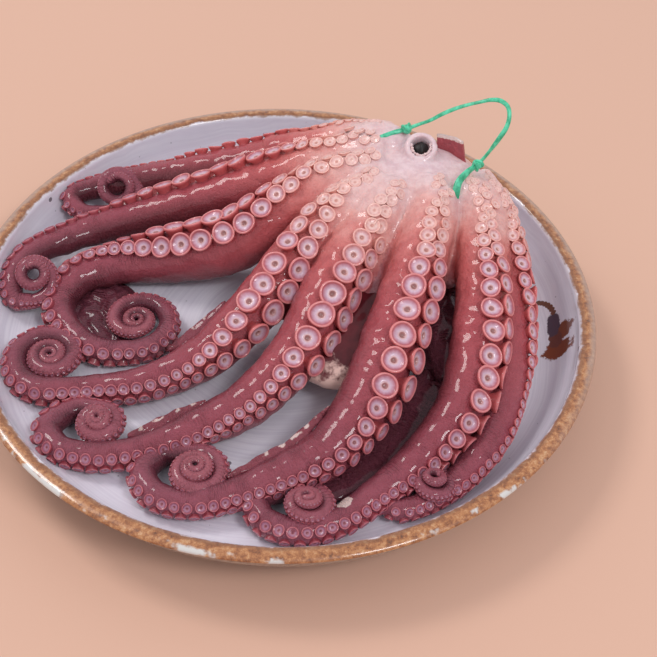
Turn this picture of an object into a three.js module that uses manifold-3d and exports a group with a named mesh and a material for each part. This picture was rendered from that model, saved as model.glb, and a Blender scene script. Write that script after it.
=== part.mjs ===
// A whole cooked octopus lying mouth up on a stoneware plate, with the green twine it was tied with.
// Units are millimetres, +Z is up, and the origin is the middle of the plate's foot, on the table.

import * as THREE from 'three';
import { mergeVertices } from 'three/addons/utils/BufferGeometryUtils.js';
import Module from 'manifold-3d';

const wasm = await Module();
wasm.setup();

// ---- driving dimensions ----

const GAP = 0.3;

const PLATE = {
	rimRadius: 150,
	rimTop: 34,
	lipWidth: 8,
	floorTop: 10,
	floorRadius: 120,
	wallArc: 22,
	floorBottom: 4.2,
	footOuter: 82,
	footInner: 70,
	sides: 48,
};

const CROWN = { centre: [62, 57, 41], half: [43, 43, 32.5] };
const SHOULDER = { centre: [42, 80, 64.5], half: [20, 12, 13.5] };
const MEMBRANE = { centre: [70, 61, 65], half: [18, 10, 6.5], turn: -30 };
const MANTLE = { centre: [40, 2, 28], half: [28, 55, 17.5], turn: -22.9 };
const MOUTH = { centre: [63, 66, 76.5], lipRadius: 6.6, lipThickness: 1.8, holeRadius: 4.6, holeDepth: 9 };
const FLAP = { centre: [79.5, 76, 65], size: [13, 3, 24], turn: -30, lean: -13 };
const WEB_FOLD = { centre: [-93, -1, 11], half: [13, 20, 6] };
const HIDDEN_WEB = { centre: [74, -14, 22], half: [14, 30, 12], turn: 8 };

const ARM_SIDES = 7;
const LENGTH_RINGS = 8;
const COIL_STEP_DEGREES = 40;
const COIL_THINNING = 0.65;
// a faceted ring is drawn a little larger, so that it holds as much as the round arm
const FACET_GROWTH = 1.05;

const SMALLEST_SUCKER = 5.8;
const SUCKER_SIDES = 6;
const SUCKER_PACKING = 0.97;
const FIRST_SUCKER = 4;
const ROW_OFFSET = 2;

// Each arm runs from the crown to its curl. A route point is
// [x, y, height of the arm's middle, degrees the suckers lean to the right of straight up, radius].
// largestAt is how far along the arm its largest sucker stands. The curl goes on from the last point:
// radius, how much is left of it after each turn, number of turns, how far it leans over about +X in
// degrees, how far its middle rises, and how quickly the lean and the rise come in.
const ARMS = [
	{
		hand: 1, largestSucker: 3.6, largestAt: 90,
		route: [
			[49, 83, 68.5, -10, 9], [28, 89, 61, 30, 9.5], [3, 92, 50.5, 70, 9.5], [-26, 93, 39.5, 84, 9],
			[-55, 90, 32.5, 84, 8.5], [-82, 87, 28, 84, 7.4], [-104, 81.5, 26, 84, 6],
			[-115.5, 72, 25.5, 82, 5.2], [-109, 64.5, 23.5, 80, 4.7], [-90.5, 66.5, 23, 80, 4.3],
		],
		curl: { radius: 11, keep: 0.6, turns: 2.2, lean: 52, rise: 8, quickness: 6 },
	},
	{
		hand: 1, largestSucker: 4.8, largestAt: 105,
		route: [
			[47, 74, 68, -10, 9.5], [23, 74, 60, 25, 11], [-8, 72, 47.5, 50, 11.5],
			[-45, 65, 35.5, 66, 10.5], [-78, 58, 27.5, 74, 9], [-108, 45, 24.5, 78, 7.4],
			[-128, 30, 24, 78, 6.2], [-134.5, 13, 23.5, 78, 5.4], [-131, 1.5, 20, 78, 4.8],
			[-122.5, 1.5, 19.5, 76, 4.3],
		],
		curl: { radius: 9.3, keep: 0.56, turns: 2.2, lean: 40, rise: 10.5, quickness: 6 },
	},
	{
		hand: 1, largestSucker: 5.4, largestAt: 104,
		route: [
			[46, 64, 66, -8, 9.5], [21, 57.5, 60, 14, 12], [-2, 46, 48, 8, 13.5], [-25, 34.5, 36, -7, 14.5],
			[-57, 31.5, 26, -6, 12.6], [-88, 28, 20.5, 18, 9.8], [-105, 17.5, 18.5, 49, 8.2],
			[-109, -1, 17.5, 66, 7.2], [-98, -19, 17, 78, 6.6], [-84, -26, 16.5, 82, 6.1],
			[-70, -25, 16, 82, 5.7],
		],
		curl: { radius: 20, keep: 0.41, turns: 2.7, lean: 0, rise: 2, quickness: 1 },
	},
	{
		hand: -1, largestSucker: 6.1, largestAt: 90,
		route: [
			[45, 52, 65, -12, 9.5], [27, 37.5, 60, 2, 11.5], [8, 17, 50, -16, 12.5],
			[-12, -8.5, 35, -37, 12.5], [-33.5, -31, 24, -50, 11], [-58, -46.5, 19.5, -64, 8.7],
			[-84, -51, 17.5, -73, 6.7], [-106, -53, 17.2, -84, 6.2],
		],
		curl: { radius: 19.5, keep: 0.45, turns: 2.9, lean: 8, rise: 4, quickness: 1 },
	},
	{
		hand: -1, largestSucker: 6.4, largestAt: 85,
		route: [
			[53, 47, 65, -12, 9.5], [46, 35.5, 63, -24, 11.5], [32.5, 14.5, 55, -44, 12.5],
			[20, -9, 45, -49, 13], [8.5, -35.5, 34, -45, 12.5], [-11.5, -58.5, 24, -53, 11],
			[-35.5, -73.5, 19.5, -72, 8.8], [-58, -85, 17.5, -77, 6.8], [-79, -89, 16.8, -78, 6.4],
			[-95, -85, 17, -78, 6.3], [-101, -75, 17, -78, 6.1], [-90, -63, 17, -78, 5.4],
			[-78, -64, 18, -78, 4.7],
		],
		curl: { radius: 9.5, keep: 0.5, turns: 2.5, lean: 32, rise: 9, quickness: 1 },
	},
	{
		hand: -1, largestSucker: 6.5, largestAt: 101,
		route: [
			[68, 51, 66, -12, 10], [69.5, 38, 64, -20, 12], [64.5, 10.5, 57, -26, 13],
			[52.5, -28, 45, -44, 13.5], [40, -63, 31, -55, 13], [25, -84.5, 23.5, -64, 11.5],
			[5, -97, 20, -68, 9.4], [-14, -106.5, 18, -71, 7.4], [-33, -112, 17, -76, 6.6],
			[-49, -108, 17, -77, 6.4], [-55, -97, 17, -78, 6.3], [-48, -86, 17, -78, 5.6],
			[-32, -86, 18, -78, 4.8],
		],
		curl: { radius: 12.5, keep: 0.5, turns: 2.7, lean: 5, rise: 11, quickness: 1 },
	},
	{
		hand: -1, largestSucker: 5.7, largestAt: 110,
		route: [
			[82, 52, 65.5, -12, 9.5], [93, 40, 62, -15, 11.5], [94, 12, 54, -26, 12.5],
			[92, -21, 43, -48, 12.5], [84, -58, 29, -66, 11.5], [67, -83, 21.5, -70, 9.6],
			[49, -101, 18.5, -70, 7.8], [31, -117, 17, -70, 6.4], [13, -123, 16.8, -70, 6],
			[-1, -118, 16.8, -72, 5.9], [-4, -109, 16.8, -74, 5.6], [5, -103, 17, -76, 4.9],
			[16, -102, 18, -76, 4.3],
		],
		curl: { radius: 10.5, keep: 0.5, turns: 2.7, lean: -20, rise: 13, quickness: 1 },
	},
	{
		hand: -1, largestSucker: 4.4, largestAt: 80,
		route: [
			[90, 59, 65, -10, 8.5], [101, 45, 58, -22, 9.3], [106, 19, 48, -45, 10],
			[107, -13, 36, -74, 10.2], [105, -43, 27, -84, 9.8], [98, -69, 21.5, -84, 8.4],
			[85, -89, 18, -82, 6.7], [68, -104, 16, -80, 5.2], [57, -108, 15.8, -80, 5],
			[51, -104, 15.8, -80, 5], [56, -96, 16, -80, 4.7], [66, -90, 17, -78, 4.1],
		],
		curl: { radius: 9.5, keep: 0.5, turns: 2.4, lean: -20, rise: 15, quickness: 1 },
	},
];

// sucker radius, as a share of the arm's largest, against its place as a share of the largest one's
const SUCKER_GROWTH = [
	[0, 0.3], [0.28, 0.5], [0.46, 0.66], [0.55, 0.77], [0.65, 0.9], [0.87, 0.96], [1, 1], [1.11, 0.96],
	[1.21, 0.85], [1.3, 0.72], [1.4, 0.59], [1.5, 0.5], [1.62, 0.43], [1.8, 0.38], [2.1, 0.36], [4, 0.34],
];
const SUCKER_SHARE_OF_ARM = 0.5;
// how far a row stands to its side, in sucker radii, against the arm's radius
const ROW_PUSH = [[5, 1.1], [9, 0.75]];
const WIDEST_ROW = 0.55;
// how much further than its place on the arm a sucker leans to its side, in degrees
const SUCKER_SPLAY = 9;

// thin torn skin along the far sides of three arms, and on the plate between two
const SKIN_STRIPS = [
	{ width: 6, height: 3, points: [[-27, -9, 38], [-36, -18, 34], [-45.5, -26.5, 31], [-51, -31, 29.5]] },
	{ width: 6, height: 3, points: [[-31, -61.5, 27], [-44.5, -68.5, 25.5], [-57, -75.5, 24], [-64, -79, 23]] },
	{ width: 6, height: 3, points: [[24.5, -66, 32], [8.5, -84, 28.5], [-5, -92, 26], [-18, -99.5, 24]] },
	{ width: 9, height: 5, points: [[58, -66, 15], [46, -77, 13], [35, -87, 12.5], [26, -96, 12]] },
];

const STRIP_STEPS = 6;

const TWINE = {
	radius: 1.5,
	sides: 8,
	steps: 38,
	knotHalf: [3.6, 3, 2.7],
	knotAt: [2, 17],
	route: [
		[43, 73, 76], [50, 77, 76.5], [56, 79, 77.5], [62, 80, 80], [67, 79.5, 83], [73, 79.5, 87.5],
		[79, 79, 91.5], [85, 78, 95], [90, 77, 97.5], [95, 76.5, 99.5], [99.5, 75.5, 100], [103, 72.5, 99],
		[104, 69, 96], [103, 65.5, 92], [100, 62.5, 87.5], [97, 60, 83.5], [94, 57.5, 80], [90, 53.5, 77.5],
		[85.5, 48.5, 77], [81, 42.5, 75], [80, 38.5, 71], [80, 36.5, 65], [80, 35, 59],
	],
};

const MATERIALS = {
	stoneware: { color: 0xc9c2c9, roughness: 0.35, metalness: 0 },
	skin: { color: 0xa8525a, roughness: 0.3, metalness: 0 },
	beak: { color: 0x15120f, roughness: 0.25, metalness: 0 },
	twine: { color: 0x4cc39b, roughness: 0.5, metalness: 0 },
};

// ---- solids ----

const radians = THREE.MathUtils.degToRad;
const vector = (p) => new THREE.Vector3(p[0], p[1], p[2]);

function between(table, x) {
	const last = table[table.length - 1];
	const next = table.findIndex(([at]) => at > x);
	if (next === 0) return table[0][1];
	if (next < 0) return last[1];
	const [x0, y0] = table[next - 1];
	const [x1, y1] = table[next];
	return y0 + (y1 - y0) * (x - x0) / (x1 - x0);
}

// A closed geometry as a Manifold: corners merged, flat triangles dropped, faces turned outwards.
function solid(geometry) {
	geometry.deleteAttribute('normal');
	geometry.deleteAttribute('uv');
	const merged = mergeVertices(geometry, 1e-4);
	const index = merged.index.array;
	const triangles = [];
	for (let i = 0; i < index.length; i += 3) {
		const [a, b, c] = [index[i], index[i + 1], index[i + 2]];
		if (a !== b && b !== c && c !== a) triangles.push(a, b, c);
	}
	if (signedVolume(merged.attributes.position, triangles) < 0) triangles.reverse();
	return new wasm.Manifold(new wasm.Mesh({
		numProp: 3,
		vertProperties: new Float32Array(merged.attributes.position.array),
		triVerts: new Uint32Array(triangles),
	}));
}

function signedVolume(position, triangles) {
	const [a, b, c] = [new THREE.Vector3(), new THREE.Vector3(), new THREE.Vector3()];
	let sum = 0;
	for (let i = 0; i < triangles.length; i += 3) {
		a.fromBufferAttribute(position, triangles[i]);
		b.fromBufferAttribute(position, triangles[i + 1]);
		c.fromBufferAttribute(position, triangles[i + 2]);
		sum += a.dot(b.cross(c));
	}
	return sum / 6;
}

// Of a solid that fell into pieces, the largest. This also fills any sealed hollow.
function largestPiece(manifold) {
	return manifold.decompose().reduce((best, piece) => (piece.volume() > best.volume() ? piece : best));
}

const joined = (solids) => solids.reduce((all, next) => all.add(next));

function node(name, manifold, material) {
	const mesh = manifold.getMesh();
	const geometry = new THREE.BufferGeometry();
	geometry.setAttribute('position', new THREE.BufferAttribute(new Float32Array(mesh.vertProperties), 3));
	geometry.setIndex(new THREE.BufferAttribute(new Uint32Array(mesh.triVerts), 1));
	geometry.computeVertexNormals();
	const result = new THREE.Mesh(geometry, new THREE.MeshStandardMaterial(MATERIALS[material]));
	result.name = name;
	return result;
}

// A round solid about +Z from [radius, height] points.
function turned(points, sides) {
	const geometry = new THREE.LatheGeometry(points.map(([r, z]) => new THREE.Vector2(r, z)), sides);
	return solid(geometry.rotateX(Math.PI / 2));
}

function egg({ centre, half, turn = 0 }, across = 14, down = 9) {
	const geometry = new THREE.SphereGeometry(1, across, down).rotateX(Math.PI / 2);
	geometry.scale(...half).rotateZ(radians(turn)).translate(...centre);
	return solid(geometry);
}

function arcPoints(centre, radius, fromDegrees, toDegrees, steps) {
	return Array.from({ length: steps + 1 }, (_, i) => {
		const angle = radians(fromDegrees + (toDegrees - fromDegrees) * i / steps);
		return [centre[0] + radius * Math.cos(angle), centre[1] + radius * Math.sin(angle)];
	});
}

// ---- plate ----

const wallCentre = [PLATE.floorRadius, PLATE.floorTop + PLATE.wallArc];

function plate() {
	const wallOuter = PLATE.rimRadius - PLATE.floorRadius;
	return turned([
		[0, PLATE.floorTop],
		...arcPoints(wallCentre, PLATE.wallArc, -90, 0, 5),
		[PLATE.rimRadius - PLATE.lipWidth + 2, PLATE.rimTop - 0.4],
		[PLATE.rimRadius - 3, PLATE.rimTop],
		[PLATE.rimRadius - 0.8, PLATE.rimTop - 1],
		...arcPoints(wallCentre, wallOuter, 0, -68, 4),
		[PLATE.footOuter + 2, PLATE.floorBottom],
		[PLATE.footOuter - 1, 0],
		[PLATE.footInner + 1, 0],
		[PLATE.footInner - 2, PLATE.floorBottom - 0.6],
		[0, PLATE.floorBottom - 0.6],
	], PLATE.sides);
}

// The space over the plate, a gap above its glaze, that all the food stays in.
function spaceOverPlate() {
	const outside = PLATE.rimRadius + 20;
	const top = 130;
	return turned([
		[0, PLATE.floorTop + GAP],
		...arcPoints(wallCentre, PLATE.wallArc - GAP, -90, 0, 5),
		[PLATE.rimRadius - PLATE.lipWidth, PLATE.rimTop + GAP],
		[outside, PLATE.rimTop + GAP],
		[outside, top],
		[0, top],
	], PLATE.sides);
}

// ---- arms ----

// Rings along an arm: middle, radius, direction along the arm, direction over it and direction that
// the suckers face.
function armRings(arm, routeSteps) {
	const curve = new THREE.CatmullRomCurve3(arm.route.map(vector), false, 'centripetal');
	const shape = new THREE.SplineCurve(arm.route.map((p) => new THREE.Vector2(p[3], p[4])));
	const up = new THREE.Vector3(0, 0, 1);
	const rings = [];
	for (let i = 0; i <= routeSteps; i++) {
		const t = i / routeSteps;
		const along = curve.getTangent(t);
		const right = new THREE.Vector3().crossVectors(along, up).normalize();
		const over = new THREE.Vector3().crossVectors(right, along);
		const { x: facing, y: radius } = shape.getPoint(t);
		const out = over.clone().multiplyScalar(Math.cos(radians(facing)))
			.addScaledVector(right, Math.sin(radians(facing)));
		rings.push({ middle: curve.getPoint(t), radius, along, over, out });
	}
	return rings.concat(curlRings(arm, rings[rings.length - 1]));
}

function curlRings({ hand, route, curl }, last) {
	const start = last.along.clone().setZ(0).normalize();
	const inwards = new THREE.Vector3(0, 0, 1).cross(start).multiplyScalar(hand);
	const centre = last.middle.clone().addScaledVector(inwards, curl.radius);
	const facing = Math.abs(radians(route[route.length - 1][3]));
	const rate = -Math.log(curl.keep) / (2 * Math.PI);
	const steps = Math.round(curl.turns * 360 / COIL_STEP_DEGREES);
	const axisX = new THREE.Vector3(1, 0, 0);
	const rings = [];
	for (let i = 1; i <= steps; i++) {
		const angle = i / steps * curl.turns * 2 * Math.PI;
		const left = Math.exp(-rate * angle);
		const come = 1 - left ** curl.quickness;
		const lean = radians(curl.lean) * come;
		const axis = new THREE.Vector3(0, 0, 1).applyAxisAngle(axisX, lean);
		const outwards = inwards.clone().multiplyScalar(-Math.cos(angle))
			.addScaledVector(start, Math.sin(angle)).applyAxisAngle(axisX, lean);
		const middle = centre.clone().addScaledVector(outwards, curl.radius * left);
		middle.z += curl.rise * come;
		const radius = last.radius * left ** COIL_THINNING;
		const out = axis.clone().multiplyScalar(Math.cos(facing)).addScaledVector(outwards, Math.sin(facing));
		rings.push({ middle, radius, over: axis, out });
	}
	const all = [last, ...rings];
	rings.forEach((ring, i) => {
		const next = all[i + 2] ?? ring;
		ring.along = next.middle.clone().sub(all[i].middle).normalize();
	});
	for (const { along, over, out } of rings) {
		over.addScaledVector(along, -over.dot(along)).normalize();
		out.addScaledVector(along, -out.dot(along)).normalize();
	}
	return rings;
}

// A closed skin through some rings, made by bending a plain cylinder along them. A ring's height, from
// its middle, may differ from its radius to the sides.
function bentCylinder(rings, sides) {
	const geometry = new THREE.CylinderGeometry(1, 1, 1, sides, rings.length - 1);
	const position = geometry.attributes.position;
	for (let i = 0; i < position.count; i++) {
		const { middle, radius, height = radius, along, over } =
			rings[Math.round((0.5 - position.getY(i)) * (rings.length - 1))];
		const across = new THREE.Vector3().crossVectors(along, over);
		const point = middle.clone().addScaledVector(over, position.getX(i) * height * FACET_GROWTH)
			.addScaledVector(across, position.getZ(i) * radius * FACET_GROWTH);
		position.setXYZ(i, point.x, point.y, point.z);
	}
	return solid(geometry);
}

// The arm is built in short lengths that share their end rings, so that no length meets itself.
function armSolid(arm) {
	const routeSteps = 2 * (arm.route.length - 1);
	const rings = armRings(arm, routeSteps);
	const lengths = [];
	for (let from = 0; from < rings.length - 1; from += LENGTH_RINGS) {
		lengths.push(bentCylinder(rings.slice(from, from + LENGTH_RINGS + 1), ARM_SIDES));
	}
	return joined(lengths);
}

function rowAngle(size, radius) {
	return Math.asin(Math.min(WIDEST_ROW, between(ROW_PUSH, radius) * size / radius));
}

// Suckers stand in two rows; a place along the arm is found on finely spaced rings.
function suckerPlaces(arm) {
	const rings = armRings(arm, 240);
	let travelled = 0;
	const stations = rings.map((ring, i) => {
		if (i > 0) travelled += ring.middle.distanceTo(rings[i - 1].middle);
		return { ...ring, at: travelled };
	});
	const sizeAt = (at) => {
		const share = at / arm.largestAt;
		const radius = stations.find((s) => s.at >= at)?.radius ?? 0;
		const size = arm.largestSucker * between(SUCKER_GROWTH, share);
		return share > 1.3 ? Math.min(size, SUCKER_SHARE_OF_ARM * radius) : size;
	};
	const places = [];
	for (const row of [-1, 1]) {
		let at = FIRST_SUCKER + (row > 0 ? ROW_OFFSET : 0);
		while (at < travelled - 1) {
			const size = sizeAt(at);
			const ring = stations.find((s) => s.at >= at);
			const angle = row * rowAngle(size, ring.radius);
			const across = new THREE.Vector3().crossVectors(ring.along, ring.out);
			const aside = (turn) => ring.out.clone().multiplyScalar(Math.cos(turn))
				.addScaledVector(across, Math.sin(turn));
			const foot = ring.middle.clone().addScaledVector(aside(angle), ring.radius);
			places.push({ size, foot, facing: aside(angle + row * radians(SUCKER_SPLAY)) });
			at += (size + sizeAt(at + 2 * size)) * SUCKER_PACKING;
		}
	}
	return places;
}

// A sucker is a flared cup with a hollow face, for a lip of radius 1 that is then scaled.
function suckerSolid({ size, facing, foot }) {
	const profile = [[0, -0.5], [0.68, -0.5], [1, 0.62], [0.36, 0.4], [0, 0.2]];
	const cup = new THREE.LatheGeometry(profile.map(([r, h]) => new THREE.Vector2(r, h)), SUCKER_SIDES);
	const turn = new THREE.Quaternion().setFromUnitVectors(new THREE.Vector3(0, 1, 0), facing);
	cup.scale(size, size, size).applyQuaternion(turn).translate(...foot);
	return solid(cup);
}

// ---- crown, mouth and loose skin ----

function lips() {
	const { centre, lipRadius, lipThickness } = MOUTH;
	return solid(new THREE.TorusGeometry(lipRadius, lipThickness, 6, 16).translate(...centre));
}

function mouthHole() {
	const { centre, holeRadius, holeDepth } = MOUTH;
	const depth = 2 * holeDepth;
	const geometry = new THREE.CylinderGeometry(holeRadius + 0.6, holeRadius, depth, 12).rotateX(Math.PI / 2);
	return solid(geometry.translate(...centre));
}

function flap() {
	const geometry = new THREE.BoxGeometry(...FLAP.size, 2, 1, 2);
	geometry.rotateY(radians(FLAP.lean)).rotateZ(radians(FLAP.turn)).translate(...FLAP.centre);
	return solid(geometry);
}

// A strip is widest at its middle and narrow, but not sharp, at both ends.
function skinStrip({ width, height, points }) {
	const curve = new THREE.CatmullRomCurve3(points.map(vector), false, 'centripetal');
	const over = new THREE.Vector3(0, 0, 1);
	const rings = Array.from({ length: STRIP_STEPS + 1 }, (_, i) => {
		const t = i / STRIP_STEPS;
		const radius = width / 2 * Math.sin(Math.PI * (0.12 + 0.76 * t));
		return { middle: curve.getPoint(t), radius, height: height / 2, along: curve.getTangent(t), over };
	});
	return bentCylinder(rings, 6);
}

// ---- twine ----

const twineCurve = new THREE.CatmullRomCurve3(TWINE.route.map(vector), false, 'centripetal');

// The twine with its two knots, grown by a margin where a channel for it is wanted.
function twine(margin) {
	const radius = TWINE.radius + margin;
	const section = new THREE.Shape(Array.from({ length: TWINE.sides }, (_, i) => {
		const angle = (i + 0.5) / TWINE.sides * 2 * Math.PI;
		return new THREE.Vector2(radius * Math.cos(angle), radius * Math.sin(angle));
	}));
	const tube = new THREE.ExtrudeGeometry(section, { steps: TWINE.steps, extrudePath: twineCurve });
	const half = TWINE.knotHalf.map((h) => h + margin);
	const knots = TWINE.knotAt.map((i) => egg({ centre: TWINE.route[i], half }, 8, 5));
	return joined([solid(tube), ...knots]);
}

// The channel reaches a little past the twine's last end, which is pressed in between two arms.
function twineChannel() {
	const margin = 0.45;
	const end = vector(TWINE.route[TWINE.route.length - 1]);
	const half = [TWINE.radius + margin, TWINE.radius + margin, TWINE.radius + margin];
	return twine(margin).add(egg({ centre: end.toArray(), half }, 10, 6));
}

// ---- the whole ----

function octopus() {
	const suckers = ARMS.flatMap(suckerPlaces).filter(({ size }) => size >= SMALLEST_SUCKER).map(suckerSolid);
	const body = joined([egg(CROWN), egg(SHOULDER, 16, 10), egg(MEMBRANE), egg(MANTLE), egg(WEB_FOLD, 12, 8),
		egg(HIDDEN_WEB, 12, 8), lips(), flap()]);
	const arms = joined(ARMS.map(armSolid));
	const skins = joined(SKIN_STRIPS.map(skinStrip));
	const whole = body.add(arms).add(skins).add(joined(suckers));
	return largestPiece(whole.subtract(mouthHole()).subtract(twineChannel()).intersect(spaceOverPlate()));
}

function beak() {
	const [x, y, z] = MOUTH.centre;
	const half = [MOUTH.holeRadius - GAP - 0.3, MOUTH.holeRadius - GAP - 0.9, 4.4];
	return egg({ centre: [x, y, z - MOUTH.holeDepth + GAP + half[2]], half }, 10, 8);
}

const group = new THREE.Group();
group.add(
	node('plate', plate(), 'stoneware'),
	node('octopus', octopus(), 'skin'),
	node('beak', beak(), 'beak'),
	node('twine', twine(0), 'twine'),
);

export default group;
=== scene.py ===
# The visual model of a whole cooked octopus, lying mouth up on a stoneware plate, with green twine.
# Shapes are worked out in millimetres and turned into metres as each mesh is made.

import math
import bpy
import numpy as np
from mathutils import Matrix, Vector
from mathutils.bvhtree import BVHTree


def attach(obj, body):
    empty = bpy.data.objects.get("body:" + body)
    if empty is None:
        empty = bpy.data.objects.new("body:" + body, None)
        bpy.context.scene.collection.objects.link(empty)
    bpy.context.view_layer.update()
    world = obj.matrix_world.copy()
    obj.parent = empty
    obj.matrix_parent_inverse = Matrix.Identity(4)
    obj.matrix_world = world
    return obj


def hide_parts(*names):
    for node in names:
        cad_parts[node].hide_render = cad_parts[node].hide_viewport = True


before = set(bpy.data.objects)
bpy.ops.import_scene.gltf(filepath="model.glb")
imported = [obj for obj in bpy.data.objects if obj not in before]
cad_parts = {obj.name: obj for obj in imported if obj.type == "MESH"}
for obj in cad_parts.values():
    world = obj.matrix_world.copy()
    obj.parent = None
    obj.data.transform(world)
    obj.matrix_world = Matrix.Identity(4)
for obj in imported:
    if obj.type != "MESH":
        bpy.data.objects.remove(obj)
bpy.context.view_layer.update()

MM = 0.001
UP = np.array([0.0, 0.0, 1.0])


# ---- camera and twine route ----

EYE = (0.0224, -0.43395, 0.46814)
CAMERA_RIGHT = (0.99852722, 0.0392559, 0.03744826)
CAMERA_UP = (-0.05425309, 0.72250412, 0.68923465)

# ribbon width against the share of the way along it
TWINE_WIDTH = ((0, 0.1, 0.5, 0.62, 0.74, 0.8, 1), (2.2, 2.0, 2.2, 2.8, 2.8, 3.6, 4.2))
# turns about its own middle against the same share
TWINE_TWIST = ((0, 0.3, 0.55, 0.7, 1), (0.0, 0.1, 0.0, 0.15, 0.0))
TWINE_FACING = (0.05, -0.75, 0.65)
TWINE_STEPS = 260
TWINE_SIDES = 12
TWINE_THICKNESS = 1.0
TWINE_KNOTS = (2, 17)
TWINE_ROUTE = [
    (43, 73, 76), (50, 77, 76.5), (56, 79, 77.5), (62, 80, 80), (67, 79.5, 83), (73, 79.5, 87.5),
    (79, 79, 91.5), (85, 78, 95), (90, 77, 97.5), (95, 76.5, 99.5), (99.5, 75.5, 100), (103, 72.5, 99),
    (104, 69, 96), (103, 65.5, 92), (100, 62.5, 87.5), (97, 60, 83.5), (94, 57.5, 80), (90, 53.5, 77.5),
    (85.5, 48.5, 77), (81, 42.5, 75), (80, 38.5, 71), (80, 36.5, 65), (80, 35, 59),
]


def add_camera():
    data = bpy.data.cameras.new("camera")
    data.lens = 70
    data.sensor_width = 36
    camera = bpy.data.objects.new("camera", data)
    right, up = Vector(CAMERA_RIGHT), Vector(CAMERA_UP)
    turn = Matrix((right, up, right.cross(up))).transposed().to_4x4()
    camera.matrix_world = Matrix.Translation(EYE) @ turn
    bpy.context.collection.objects.link(camera)
    bpy.context.scene.camera = camera


add_camera()


# ---- the arms' routes ----

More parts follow.
